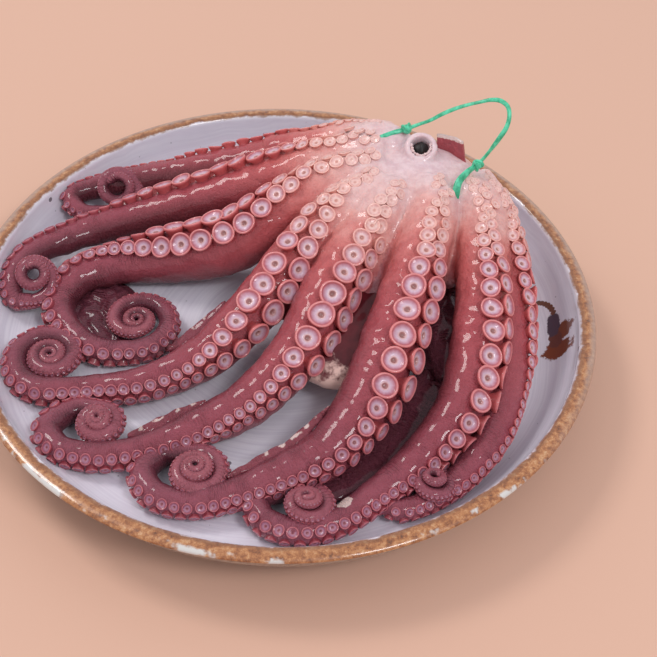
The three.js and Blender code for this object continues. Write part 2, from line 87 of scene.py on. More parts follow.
# Each arm runs from the crown to its curl: (the curl's hand, 1 for left or -1 for right, the radius of the
# largest suckers, their distance along the arm, the least radius before the tip, a power, low for large
# first suckers, the length joined to the crown), (the curl's radius, the share of it kept in each turn,
# turns, lean in degrees, rise, how soon these two come), and route points (x, y, height of the arm's
# middle, degrees the suckers lean to the right of straight up, radius).
ARMS = {
    "A": ((1, 4.0, 90, 2.4, 0.85, 66), (11, 0.62, 1.7, 52, 8, 6), [
        (49, 83, 68.5, -10, 9), (28, 89, 61, 30, 9.5), (3, 92, 50.5, 62, 9.5), (-26, 93, 39.5, 74, 9),
        (-55, 90, 32.5, 74, 8.5), (-82, 87, 28, 78, 7.4), (-104, 81.5, 26, 84, 6),
        (-115.5, 72, 25.5, 82, 5.2), (-109, 64.5, 23.5, 80, 4.5), (-90.5, 66.5, 23, 80, 3.7)]),
    "B": ((1, 5.5, 105, 3.0, 0.7, 72), (9.3, 0.6, 1.7, 40, 10.5, 6), [
        (47, 74, 68, -10, 9.5), (23, 74, 60, 22, 11), (-8, 72, 47.5, 42, 11.5), (-45, 65, 35.5, 54, 10.5),
        (-78, 58, 27.5, 58, 9), (-108, 45, 24.5, 66, 7.4), (-128, 30, 24, 74, 6.2),
        (-134.5, 13, 23.5, 78, 5.4), (-131, 1.5, 20, 78, 4.8), (-122.5, 1.5, 19.5, 76, 3.8)]),
    "C": ((1, 5.9, 104, 3.3, 0.65, 84), (20, 0.41, 3.0, 0, 2, 1), [
        (46, 64, 66, -8, 9.5), (21, 57.5, 60, 14, 12), (-2, 46, 48, 8, 13.5), (-25, 34.5, 36, -7, 14.5),
        (-57, 31.5, 26, -6, 12.6), (-88, 28, 20.5, 18, 9.8), (-105, 17.5, 18.5, 49, 8.2),
        (-109, -1, 17.5, 66, 7.2), (-98, -19, 17, 78, 6.6), (-84, -26, 16.5, 82, 6.1),
        (-70, -25, 16, 82, 5.7)]),
    "D": ((-1, 6.1, 90, 2.9, 0.75, 92), (19.5, 0.45, 3.3, 8, 4, 1), [
        (45, 52, 65, 12, 9.5), (27, 37.5, 60, 10, 11.5), (8, 17, 50, -16, 12.5),
        (-12, -8.5, 35, -37, 12.5), (-33.5, -31, 24, -50, 11), (-58, -46.5, 19.5, -64, 8.7),
        (-84, -51, 17.5, -73, 6.7), (-106, -53, 17.2, -84, 6.2)]),
    "E": ((-1, 6.4, 85, 2.7, 0.85, 98), (9.5, 0.5, 2.9, 32, 9, 1), [
        (53, 47, 65, -12, 9.5), (46, 35.5, 63, -24, 11.5), (32.5, 14.5, 55, -44, 12.5),
        (20, -9, 45, -49, 13), (8.5, -35.5, 34, -45, 12.5), (-11.5, -58.5, 24, -53, 11),
        (-35.5, -73.5, 19.5, -72, 8.8), (-58, -85, 17.5, -77, 6.8), (-79, -89, 16.8, -78, 6.4),
        (-95, -85, 17, -78, 6.3), (-101, -75, 17, -78, 6.1), (-90, -63, 17, -78, 5.4),
        (-78, -64, 18, -78, 4.7)]),
    "F": ((-1, 6.5, 101, 2.5, 1, 102), (12.5, 0.5, 3.2, 5, 11, 1), [
        (68, 51, 66, -12, 10), (69.5, 38, 64, -20, 12), (64.5, 10.5, 57, -26, 13),
        (52.5, -28, 45, -44, 13.5), (40, -63, 31, -55, 13), (25, -84.5, 23.5, -64, 11.5),
        (5, -97, 20, -68, 9.4), (-14, -106.5, 18, -71, 7.4), (-33, -112, 17, -76, 6.6),
        (-49, -108, 17, -77, 6.4), (-55, -97, 17, -78, 6.3), (-48, -86, 17, -78, 5.6),
        (-32, -86, 18, -78, 4.8)]),
    "G": ((-1, 5.7, 110, 2.6, 0.9, 100), (10.5, 0.5, 2.7, -20, 13, 1), [
        (82, 52, 65.5, 2, 9.5), (93, 40, 62, 2, 11.5), (94, 12, 54, -9, 12.5), (92, -21, 43, -38, 12.5),
        (84, -58, 29, -63, 11.5), (67, -83, 21.5, -70, 9.6), (49, -101, 18.5, -70, 7.8),
        (31, -117, 17, -70, 6.4), (13, -123, 16.8, -70, 6), (-1, -118, 16.8, -72, 5.9),
        (-4, -109, 16.8, -74, 5.6), (5, -103, 17, -76, 4.9), (16, -102, 18, -76, 4.3)]),
    "H": ((-1, 4.4, 80, 2.4, 0.8, 80), (9.5, 0.5, 2.4, -20, 15, 1), [
        (90, 59, 65, -10, 8.5), (101, 45, 58, -16, 9.3), (106, 19, 48, -37, 10),
        (107, -13, 36, -72, 10.2), (105, -43, 27, -84, 9.8), (98, -69, 21.5, -84, 8.4),
        (85, -89, 18, -82, 6.7), (68, -104, 16, -80, 5.2), (57, -108, 15.8, -80, 5),
        (51, -104, 15.8, -80, 5), (56, -96, 16, -80, 4.7), (66, -90, 17, -78, 4.1)]),
}

# sucker radius, as a share of the arm's largest, against the share of the way to that largest one
SUCKER_GROWTH = (
    (0, 0.28, 0.46, 0.55, 0.65, 0.87, 1, 1.11, 1.21, 1.3, 1.4, 1.5, 1.62, 1.8, 2.1, 4),
    (0.3, 0.5, 0.66, 0.77, 0.9, 0.96, 1, 0.96, 0.85, 0.72, 0.59, 0.5, 0.43, 0.38, 0.36, 0.34),
)
# largest sucker radius beyond the large ones, as a share of the arm's radius, against that radius
SUCKER_SHARE_OF_ARM = ((3, 4, 5.2, 6.3), (0.24, 0.27, 0.44, 0.5))
SUCKER_PACKING = 0.97
FIRST_SUCKER = 4
ROW_OFFSET = 2
# how far a row stands to its side, in sucker radii, against the arm's radius
ROW_PUSH = ((5, 9), (1.1, 0.75))
WIDEST_ROW = 0.55
# how much further than its place on the arm a sucker leans to its side, in degrees
SUCKER_SPLAY = 9
# how far the suckers near the mouth stray, in radians round the arm
CROWN_UNEVENNESS = 0.16

MOUTH = np.array([63.0, 66.0, 76.5])
LIP_RADIUS = 6.6
LIP_THICKNESS = 1.8
# the mouth's own axes, leaning over towards the front: its third axis points out of the mouth
MOUTH_LEAN = math.radians(24)
MOUTH_AXES = np.array([[1, 0, 0], [0, math.cos(MOUTH_LEAN), math.sin(MOUTH_LEAN)],
                       [0, -math.sin(MOUTH_LEAN), math.cos(MOUTH_LEAN)]])
# egg-shaped lumps: centre, half size and turn about +Z in degrees
CROWN = (62, 57, 41), (43, 43, 32.5), 0
SHOULDER = (42, 80, 64.5), (20, 12, 13.5), 0
MEMBRANE = (70, 61, 65), (18, 10, 6.5), -30
UNDER_MOUTH = (61, 64, 60.5), (18, 18, 13), 0
MOUTH_CUSHION = (63, 68, 70.5), (9, 8.5, 8), 0
# the next two webs are coloured dark as painted shade where they lie low between the arms, the fold partly
# by its own colour
SHADED_GAP_WEB = (76, -2, 23), (14, 42, 14), 6
WEB_FOLD = (-89, 2, 10.5), (19, 25, 5.5), 0
MANTLE = (40, 2, 28), (28, 55, 17.5), -22.9


def lengths(v):
    return np.linalg.norm(v, axis=-1)


def unit(v):
    return v / np.maximum(lengths(v)[..., None], 1e-9)


def smooth(low, high, x):
    t = np.clip((x - low) / (high - low), 0, 1)
    return t * t * (3 - 2 * t)


def spline(points, count):
    """Centripetal Catmull-Rom through the points; further columns go with them."""
    points = np.array(points, float)
    last = len(points) - 1
    padded = np.vstack([2 * points[0] - points[1], points, 2 * points[-1] - points[-2]])
    result = []
    for at in np.linspace(0, last, count):
        k = min(int(at), last - 1)
        w = at - k
        p0, p1, p2, p3 = padded[k:k + 4]
        d0, d1, d2 = (max(np.sqrt(np.linalg.norm((b - a)[:3])), 1e-4) for a, b in
                      ((p0, p1), (p1, p2), (p2, p3)))
        t1 = ((p1 - p0) / d0 - (p2 - p0) / (d0 + d1) + (p2 - p1) / d1) * d1
        t2 = ((p2 - p1) / d1 - (p3 - p1) / (d1 + d2) + (p3 - p2) / d2) * d1
        c2 = -3 * p1 + 3 * p2 - 2 * t1 - t2
        c3 = 2 * p1 - 2 * p2 + t1 + t2
        result.append(p1 + t1 * w + c2 * w * w + c3 * w ** 3)
    return np.array(result)


class Arm:
    """An arm's middle line, finely sampled, with its radius and the way its suckers face."""

    STEPS = 500
    THINNING = 0.65

    def __init__(self, name, facts, curl, route):
        self.name = name
        self.hand, self.largest, self.largest_at, self.least, self.early, self.joined = facts
        line = spline(route, self.STEPS)
        middle, facing, radius = line[:, :3], np.radians(line[:, 3]), line[:, 4]
        along = unit(np.gradient(middle, axis=0))
        right = unit(np.cross(along, UP))
        over = np.cross(right, along)
        out = np.cos(facing)[:, None] * over + np.sin(facing)[:, None] * right
        end = middle[-1], along[-1], radius[-1], abs(facing[-1])
        curl_middle, curl_radius, curl_out = self.curl(*end, *curl)
        self.middle = np.vstack([middle, curl_middle])
        self.radius = np.r_[radius, curl_radius]
        self.along = unit(np.gradient(self.middle, axis=0))
        out = np.vstack([out, curl_out])
        self.out = unit(out - (out * self.along).sum(1, keepdims=True) * self.along)
        self.at = np.r_[0, np.cumsum(lengths(np.diff(self.middle, axis=0)))]
        self.length = self.at[-1]

    def curl(self, end, along, thick, facing, radius, keep, turns, lean, rise, quickness):
        start = unit(along * [1, 1, 0])
        inwards = np.cross(UP, start) * self.hand
        centre = end + inwards * radius
        rate = -math.log(keep) / (2 * math.pi)
        angle = np.linspace(0, turns * 2 * math.pi, self.STEPS)[1:]
        left = np.exp(-rate * angle)
        come = 1 - left ** quickness
        lean = np.radians(lean) * come
        flat = np.cos(angle)[:, None] * -inwards + np.sin(angle)[:, None] * start
        outwards = np.stack([flat[:, 0], flat[:, 1] * np.cos(lean), flat[:, 1] * np.sin(lean)], 1)
        axis = np.stack([0 * lean, -np.sin(lean), np.cos(lean)], 1)
        middle = centre + outwards * (radius * left)[:, None] + UP * (rise * come)[:, None]
        thin = left ** self.THINNING
        return middle, thick * thin, math.cos(facing) * axis + math.sin(facing) * outwards

    def sample(self, at):
        """Middle, direction along, direction out and radius at some distances from the crown."""
        def column(values):
            return np.stack([np.interp(at, self.at, values[:, i]) for i in range(3)], -1)
        along = unit(column(self.along))
        out = column(self.out)
        out = unit(out - (out * along).sum(-1, keepdims=True) * along)
        return column(self.middle), along, out, np.interp(at, self.at, self.radius)


arms = {name: Arm(name, *row) for name, row in ARMS.items()}


# ---- materials ----

def linear(colour):
    """A hexadecimal screen colour as the linear numbers that shaders take."""
    values = [c / 255 for c in bytes.fromhex(colour)]
    return (*[v / 12.92 if v <= 0.04045 else ((v + 0.055) / 1.055) ** 2.4 for v in values], 1.0)


class Material:
    """A node material, with one short call for each kind of node."""

    def __init__(self, name, **settings):
        self.material = bpy.data.materials.new(name)
        self.material.use_nodes = True
        self.nodes = self.material.node_tree.nodes
        self.links = self.material.node_tree.links
        self.shader = self.nodes["Principled BSDF"]
        for key, value in settings.items():
            self.shader.inputs[key.replace("_", " ")].default_value = value
        self.place = self.add("ShaderNodeTexCoord").outputs["Object"]

    def add(self, kind, inputs=None, **settings):
        node = self.nodes.new(kind)
        for key, value in settings.items():
            setattr(node, key, value)
        for key, value in (inputs or {}).items():
            self.join(node.inputs[key], value)
        return node

    def join(self, socket, value):
        if isinstance(value, bpy.types.NodeSocket):
            self.links.new(value, socket)
        else:
            socket.default_value = value

    def set(self, name, value):
        self.join(self.shader.inputs[name], value)

    def attribute(self, name):
        return self.add("ShaderNodeAttribute", attribute_name=name).outputs["Fac"]

    def noise(self, scale, detail=3, roughness=0.5, place=None):
        inputs = {"Vector": place or self.place, "Scale": scale, "Detail": detail, "Roughness": roughness}
        return self.add("ShaderNodeTexNoise", inputs).outputs["Fac"]

    def either_side(self, *noise):
        """Noise about zero, as the arguments of noise give it."""
        return self.math("SUBTRACT", self.noise(*noise), 0.5)

    def cells(self, scale):
        return self.add("ShaderNodeTexVoronoi", {"Vector": self.place, "Scale": scale}).outputs["Distance"]

    def math(self, operation, a, b=0.0, c=0.0):
        return self.add("ShaderNodeMath", {0: a, 1: b, 2: c}, operation=operation).outputs[0]

    def times(self, value, *factors):
        for factor in factors:
            value = self.math("MULTIPLY", value, factor)
        return value

    def vector(self, operation, a, b=(0, 0, 0), output=0):
        return self.add("ShaderNodeVectorMath", {0: a, 1: b}, operation=operation).outputs[output]

    def between(self, value, low, high, to_low=0.0, to_high=1.0):
        """A smooth step from one value to another."""
        inputs = {"Value": value, "From Min": low, "From Max": high, "To Min": to_low, "To Max": to_high}
        return self.add("ShaderNodeMapRange", inputs, interpolation_type="SMOOTHSTEP").outputs[0]

    def mix(self, share, a, b, blend="MIX"):
        a, b = (linear(c) if isinstance(c, str) else c for c in (a, b))
        settings = dict(data_type="RGBA", blend_type=blend)
        return self.add("ShaderNodeMix", {0: share, 6: a, 7: b}, **settings).outputs[2]

    def tint(self, share, colour, by):
        """A colour multiplied by another, a share of the way."""
        return self.mix(share, colour, self.mix(1.0, colour, by, "MULTIPLY"))

    def ramp(self, value, stops):
        """Colours against positions, as (position, colour) pairs."""
        node = self.add("ShaderNodeValToRGB", {"Fac": value})
        elements = node.color_ramp.elements
        while len(elements) < len(stops):
            elements.new(0.5)
        for element, (position, colour) in zip(elements, stops):
            element.position = position
            element.color = linear(colour)
        return node.outputs[0]

    def bump(self, height, distance, strength):
        inputs = {"Height": height, "Distance": distance, "Strength": strength}
        self.set("Normal", self.add("ShaderNodeBump", inputs).outputs[0])


# What the skin's look goes by: millimetres along the arm, cosine of the angle from the suckers, millimetres
# for the wrinkles, share of web, and share of pale skin: torn skin, and a painted highlight on the loose
# strips.
SKIN_ATTRIBUTES = ("reach", "side", "along", "web", "pale")

# Skin colours from the mouth to the tip, against millimetres along the arm.
SKIN_REACH = 340
SKIN_STOPS = [(0.0, "e4cace"), (0.045, "e8c6c4"), (0.08, "eab0a8"), (0.12, "e08882"), (0.17, "ce6868"),
              (0.25, "ba525a"), (0.42, "984151"), (0.68, "8e4658"), (0.82, "984e5e"), (1.0, "a85c68")]


def skin_material():
    m = Material("octopus_skin", IOR=1.4, Specular_IOR_Level=0.25, Coat_Weight=0.5, Coat_Roughness=0.07,
                 Subsurface_Weight=0.1, Subsurface_Scale=0.004, Subsurface_Radius=(1.0, 0.35, 0.25))
    reach, side, along, web, pale = (m.attribute(name) for name in SKIN_ATTRIBUTES)
    wander = m.times(m.either_side(55, 4, 0.6), 0.1)
    base = m.ramp(m.math("ADD", m.math("DIVIDE", reach, SKIN_REACH), wander), SKIN_STOPS)
    far = m.between(reach, 30, 110)
    # the flanks and the underside turn to wine, their own colour deepened by painted shade on the sides
    # facing away from the suckers, and the web between the arms to mauve
    away = m.between(side, 0.45, -0.75)
    flank_wine_and_shade = m.mix(m.between(reach, 90, 200), "965c74", "9e7496")
    base = m.tint(m.times(away, far), base, flank_wine_and_shade)
    stretched = m.vector("MULTIPLY", m.place, (1, 0.25, 1))
    streak = m.between(m.noise(120, 4, 0.6, stretched), 0.42, 0.62)
    web_colour = m.mix(streak, "a86672", "d4a8b0")
    base = m.mix(m.times(web, m.between(reach, 30, 80, 0.0, 0.7)), base, web_colour)
    mottle = m.between(m.noise(230, 4, 0.65), 0.35, 0.7)
    base = m.tint(m.times(mottle, 0.3), base, "be8a96")
    grain = m.between(m.cells(1500), 0.1, 0.55)
    base = m.mix(m.times(grain, far, 0.12), base, "ce8084")
    # pale skin where torn, scarred or cut, and a painted highlight along the upper ridge of the loose
    # strips
    torn_and_highlit = m.math("MULTIPLY_ADD", m.either_side(420, 4, 0.6), 1.2, pale)
    m.set("Base Color", m.mix(m.between(torn_and_highlit, 0.4, 0.62), base, "e0c4be"))
    # wrinkles across the arm, worn in and out by noise, and small grains all over
    wave = m.math("SINE", m.math("MULTIPLY_ADD", along, 3.6, m.times(m.noise(170, 3, 0.6), 14)))
    worn = m.times(m.between(m.noise(80, 2, 0.5), 0.4, 0.66), m.between(reach, 90, 180, 0.15, 1.0))
    height = m.math("MULTIPLY_ADD", m.times(wave, worn), 0.45, m.times(m.noise(800, 4, 0.65), 1.1))
    height = m.math("MULTIPLY_ADD", m.noise(2600, 2, 0.5), 0.3, height)
    calm = m.between(reach, 4, 60, 0.3, 1.0)
    m.bump(m.times(height, calm), 0.0013, 0.9)
    m.set("Roughness", m.between(m.noise(600, 3), 0.3, 0.75, 0.34, 0.56))
    return m.material


# A sucker's colours from its foot, over its rim, into its hole: near the mouth, half way and at the tip.
SUCKER_ZONES = [0.0, 0.3, 0.45, 0.5, 0.56, 0.66, 0.8, 0.87, 0.94, 1.0]
SUCKER_PALE = "e6a294 e8a89a ecb0a2 f0bcb0 e8aea2 eabab0 ecc4bc e8bab0 dea498 ca8a7e"
SUCKER_MIDDLE = "ba5456 c86262 d07070 da8a8a ba6066 c48a9a d4b8c8 d6b2b2 ba8482 9c6c68"
SUCKER_TIP = "943e48 9e4550 af5761 bd6c74 954755 9c5a6c a5758d a96a76 995561 84424c"


def sucker_material():
    m = Material("octopus_suckers", Roughness=0.34, IOR=1.4, Coat_Weight=0.45, Coat_Roughness=0.1,
                 Subsurface_Weight=0.12, Subsurface_Scale=0.003, Subsurface_Radius=(1.0, 0.45, 0.4))
    zone, reach, ray = (m.attribute(name) for name in ("zone", "reach", "ray"))
    pale, middle, tip = (m.ramp(zone, list(zip(SUCKER_ZONES, colours.split())))
                         for colours in (SUCKER_PALE, SUCKER_MIDDLE, SUCKER_TIP))
    reach = m.math("MULTIPLY_ADD", m.either_side(60, 2), 40, reach)
    colour = m.mix(m.between(reach, 22, 66), pale, middle)
    colour = m.mix(m.between(reach, 95, 180), colour, tip)
    colour = m.mix(m.between(reach, 34, 4, 0.0, 0.7), colour, "eac4bc")
    # fine spokes run in from the rim and fade towards the hole
    spoke = m.times(ray, m.between(zone, 0.52, 0.6), m.between(zone, 0.84, 0.66))
    colour = m.tint(m.times(spoke, 0.5), colour, "ce96a4")
    spots = m.between(m.noise(500, 3, 0.6), 0.4, 0.7)
    m.set("Base Color", m.tint(m.times(spots, 0.22), colour, "d6a0a8"))
    m.bump(m.noise(1600, 3, 0.6), 0.0002, 0.7)
    return m.material


skin = skin_material()
suckers_skin = sucker_material()


# ---- mesh building ----

def add_piece(name, points, faces, material, slot, replaces=(), **attributes):
    """A smooth mesh from points in millimetres, riding on the body, with its named attributes."""
    mesh = bpy.data.meshes.new(name)
    mesh.from_pydata((points * MM).tolist(), [], faces)
    mesh.polygons.foreach_set("use_smooth", np.ones(len(mesh.polygons), bool))
    for key, values in attributes.items():
        mesh.attributes.new(key, "FLOAT", "POINT").data.foreach_set("value", np.asarray(values, np.float32))
    mesh.materials.append(material)
    piece = bpy.data.objects.new(name, mesh)
    bpy.context.collection.objects.link(piece)
    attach(piece, "root")
    if replaces:
        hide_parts(*replaces)
    return piece


def add_skin(name, points, faces, replaces=(), **values):
    """A piece of octopus skin; what isn't given of the skin's attributes is 0."""
    attributes = {key: np.zeros(len(points)) + values.get(key, 0) for key in SKIN_ATTRIBUTES}
    return add_piece(name, points, faces, skin, "skin", replaces, **attributes)


def together(solids):
    """The points and faces of several solids as one."""
    points, faces, count = [], [], 0
    for own, own_faces in solids:
        points.append(own)
        faces += [[i + count for i in face] for face in own_faces]
        count += len(own)
    return np.vstack(points), faces


def grid_faces(rows, columns, wrap=True):
    """Quads over a grid of points, stored row by row; wrap joins each row's last point to its first."""
    i, j = np.meshgrid(np.arange(rows - 1), np.arange(columns if wrap else columns - 1), indexing="ij")
    k = (j + 1) % columns
    quads = np.stack([i * columns + j, i * columns + k, (i + 1) * columns + k, (i + 1) * columns + j], -1)
    return quads.reshape(-1, 4)


def tube_faces(rows, sides):
    """The faces of a tube with both ends closed."""
    faces = grid_faces(rows, sides).tolist()
    last = (rows - 1) * sides
    return faces + [list(range(sides - 1, -1, -1)), list(range(last, last + sides))]


def around(count):
    """Even angles round a circle."""
    return np.arange(count) / count * 2 * math.pi


def tube(middle, along, out, radius, sides, section=1.0):
    """Points and faces of a closed tube; section is a factor on the radius for each angle from out."""
    angle = around(sides)
    across = np.cross(along, out)
    ray = np.cos(angle)[:, None] * out[:, None] + np.sin(angle)[:, None] * across[:, None]
    size = radius[:, None] * (np.ones(sides) * section)
    return (middle[:, None] + ray * size[..., None]).reshape(-1, 3), tube_faces(len(middle), sides)


def uneven(points, size, seed):
    """Smooth noise from -1 to 1 over space, with features about size across."""
    random = np.random.default_rng(seed)
    total = np.zeros(len(points))
    for _ in range(9):
        wave = random.normal(size=3)
        wave *= 2 * math.pi / size / np.linalg.norm(wave) * random.uniform(0.7, 1.4)
        total += np.sin(points @ wave + random.uniform(0, 2 * math.pi))
    return total / 3.2


# ---- the joined roots of the arms ----

ROOT_VOXEL = 1.0
ROOT_STEP = 2.0
# neighbouring arms with a web between them, and how far along them it reaches
WEBS = [("AB", 70), ("BC", 62), ("CD", 62), ("DE", 84), ("EF", 84), ("FG", 54), ("GH", 74)]
WEB_RADII = (3.5, 9)
WEB_SIDES = 14
ROOT_ARM_SIDES = 20
FOLD_DEPTH = 1.1
MOUTH_DEPTH = 9


def egg(centre, half, turn, across=48, down=32):
    """Points and faces of an ellipsoid turned about +Z."""
    theta = np.linspace(0, math.pi, down + 1)[1:-1, None]
    phi = around(across)
    ball = np.stack([np.sin(theta) * np.cos(phi), np.sin(theta) * np.sin(phi), np.cos(theta) + 0 * phi], -1)
    ball = np.vstack([ball.reshape(-1, 3), [0, 0, 1], [0, 0, -1]])
    faces = grid_faces(len(theta), across)[:, ::-1].tolist()
    top, bottom, last = len(ball) - 2, len(ball) - 1, (len(theta) - 1) * across
    faces += [[(i + 1) % across, top, i] for i in range(across)]
    faces += [[last + i, bottom, last + (i + 1) % across] for i in range(across)]
    cosine, sine = math.cos(math.radians(turn)), math.sin(math.radians(turn))
    return (ball * half) @ [[cosine, sine, 0], [-sine, cosine, 0], [0, 0, 1]] + centre, faces


def ring(radius, thickness, count=48, sides=16):
    """Points and faces of a level torus about the origin."""
    u, v = around(count), around(sides)
    middle = np.stack([np.cos(u), np.sin(u), 0 * u], -1)[:, None]
    points = middle * (radius + thickness * np.cos(v))[:, None] + UP * (thickness * np.sin(v))[:, None]
    return points.reshape(-1, 3), (grid_faces(count + 1, sides) % (count * sides)).tolist()


def root_solids():
    """The crown's lumps, the lips, the joined lengths of the arms, and the webs between them."""
    lips, lip_faces = ring(LIP_RADIUS, LIP_THICKNESS)
    solids = [egg(*lump) for lump in (CROWN, SHOULDER, MEMBRANE, UNDER_MOUTH, MOUTH_CUSHION)]
    solids.append((lips @ MOUTH_AXES + MOUTH, lip_faces))
    for arm in arms.values():
        end = arm.joined
        at = np.arange(0, end + 9, ROOT_STEP)
        middle, along, out, radius = arm.sample(at)
        # each root ends narrow, inside the arm's free length
        narrowed = radius * (0.55 + 0.45 * smooth(end + 10, end - 1, at))
        solids.append(tube(middle, along, out, narrowed, ROOT_ARM_SIDES))
    for (one, other), reach in WEBS:
        at = np.arange(0, reach, ROOT_STEP)
        (a, along_a, *_), (b, along_b, *_) = arms[one].sample(at), arms[other].sample(at)
        along = unit(along_a + along_b)
        radius = np.clip(lengths(a - b) * 0.5, *WEB_RADII) * (1 - 0.6 * smooth(reach * 0.4, reach, at))
        middle = (a + b) / 2 - UP * (2.5 + 9 * (at / reach))[:, None]
        side = unit(np.cross(along, UP))
        solids.append(tube(middle, along, np.cross(side, along), radius, WEB_SIDES))
    return solids


def joined_mesh(solids):
    """The union of closed solids as one even mesh: points and quads, in millimetres."""
    points, faces = together(solids)
    mesh = bpy.data.meshes.new("union")
    mesh.from_pydata(points.tolist(), [], faces)
    piece = bpy.data.objects.new("union", mesh)
    bpy.context.collection.objects.link(piece)
    remesh = piece.modifiers.new("remesh", "REMESH")
    remesh.mode = "VOXEL"
    remesh.voxel_size = ROOT_VOXEL
    result = piece.evaluated_get(bpy.context.evaluated_depsgraph_get()).to_mesh()
    even = np.empty(len(result.vertices) * 3)
    result.vertices.foreach_get("co", even)
    quads = np.empty(len(result.loops), int)
    result.loops.foreach_get("vertex_index", quads)
    bpy.data.objects.remove(piece)
    bpy.data.meshes.remove(mesh)
    return even.reshape(-1, 3), quads.reshape(-1, 4)


def sums(numbers, values, count):
    """For each number below count, the sum of its rows of values."""
    return np.stack([np.bincount(numbers, values[:, i], count) for i in range(3)], -1)


def relaxed(points, quads, rounds, share):
    """Points moved towards their neighbours' average, a share of the way each round."""
    edges = np.vstack([quads[:, [0, 1]], quads[:, [1, 2]], quads[:, [2, 3]], quads[:, [3, 0]]])
    start, end = edges.T
    count = len(points)
    neighbours = np.bincount(edges.ravel(), minlength=count)[:, None]
    for _ in range(rounds):
        total = sums(start, points[end], count) + sums(end, points[start], count)
        points = points + (total / neighbours - points) * share
    return points


def normals(points, quads):
    a, b, c, d = (points[quads[:, i]] for i in range(4))
    return unit(sums(quads.ravel(), np.repeat(np.cross(c - a, d - b), 4, 0), len(points)))


def nearest_arm(points):
    """Each point's distance along the nearest arm, cosine of its angle from the suckers, and gap to it."""
    best = np.full((3, len(points)), np.inf)
    rows = np.arange(len(points))
    for arm in arms.values():
        at = np.arange(0, arm.joined + 14, ROOT_STEP)
        middle, _, out, radius = arm.sample(at)
        away = points[:, None] - middle
        gaps = lengths(away) - radius
        nearest = gaps.argmin(1)
        cosine = (unit(away[rows, nearest]) * out[nearest]).sum(-1)
        found = np.stack([at[nearest], cosine, gaps[rows, nearest]])
        best = np.where(found[2] < best[2], found, best)
    return best


def drape_folds(points, normal):
    """Soft folds that run down the back of the crown, where the web hangs."""
    away = points - CROWN[0]
    azimuth = np.arctan2(away[:, 0], away[:, 1])
    back = smooth(8, 34, away[:, 1]) * smooth(30, 8, away[:, 2])
    wave = np.sin(azimuth * 11 + 1.3 * np.sin(away[:, 2] * 0.09)) + 0.5 * np.sin(azimuth * 23 + 1.0)
    return points + normal * (wave * FOLD_DEPTH * back)[:, None]


def mouth_hole(points):
    """Points over the mouth pushed down into a hole inside the lips."""
    own = (points - MOUTH) @ MOUTH_AXES.T
    across = lengths(own[:, :2])
    near = smooth(LIP_RADIUS - LIP_THICKNESS + 0.7, LIP_RADIUS - LIP_THICKNESS - 0.9, across)
    return points - MOUTH_AXES[2] * (near * (own[:, 2] > -MOUTH_DEPTH) * MOUTH_DEPTH)[:, None]


def octopus_root():
    points, quads = joined_mesh(root_solids())
    share = 0.1 + 0.5 * smooth(9, 17, lengths((points - MOUTH)[:, :2]))
    points = mouth_hole(relaxed(points, quads, 14, share[:, None]))
    normal = normals(points, quads)
    points = drape_folds(points, normal)
    lumps = uneven(points, 14, 5) * 0.35 + uneven(points, 6, 6) * 0.16
    from_mouth = lengths(points - MOUTH)
    points = points + normal * (lumps * smooth(14, 34, from_mouth))[:, None]
    reach, side, gap = nearest_arm(points)
    # near the mouth the colour goes by the distance from it; low at the back it is an arm's flank
    blend = smooth(52, 20, from_mouth)
    reach = reach * (1 - blend) + (from_mouth - 12) * blend
    below = smooth(46, 22, points[:, 2]) * smooth(40, 70, points[:, 1])
    reach = np.maximum(reach, below * 150)
    return points, quads.tolist(), dict(reach=reach, side=side, along=reach, web=smooth(0.5, 3.5, gap))


root_points, root_quads, root_values = octopus_root()
root_surface = BVHTree.FromPolygons(root_points.tolist(), root_quads)
add_skin("octopus_body", root_points, root_quads, ["octopus"], **root_values)


# ---- the arms' free lengths ----

# a pale scar on the seventh arm
SCAR = (33, -110.5, 22.5)
ARM_STEP = 0.9
ARM_SIDES = 32
# the groove between the rows of suckers: depth as a share of the radius, and width in radians
GROOVE_DEPTH = 0.05
GROOVE_WIDTH = 0.2


def free_arm(arm):
    start = arm.joined - 6
    steps = int((arm.length - start) / ARM_STEP)
    at = start + (arm.length - start) * np.linspace(0, 1, steps) ** 0.93
    middle, along, out, radius = arm.sample(at)
    radius = radius * (0.93 + 0.07 * smooth(start, start + 8, at))
    radius = radius * np.sqrt(np.clip((arm.length - at) / 1.5, 0.05, 1))
    angle = around(ARM_SIDES)
    groove = GROOVE_DEPTH * np.exp(-(np.minimum(angle, 2 * math.pi - angle) / GROOVE_WIDTH) ** 2)
    points, faces = tube(middle, along, out, radius, ARM_SIDES, 1 - groove)
    outwards = unit(points - np.repeat(middle, ARM_SIDES, 0))
    thick = np.repeat(np.clip(radius / 8, 0.15, 1), ARM_SIDES)
    lumps = uneven(points, 13, 21) * 0.3 + uneven(points, 5, 22) * 0.14
    points = points + outwards * (lumps * thick)[:, None]
    reach = np.repeat(at, ARM_SIDES)
    scar = smooth(5.5, 2, lengths(points - SCAR))
    side = np.tile(np.cos(angle), len(at))
    add_skin(f"arm_{arm.name}", points, faces, reach=reach, side=side, along=reach, pale=scar)


for each in arms.values():
    free_arm(each)


# ---- suckers ----

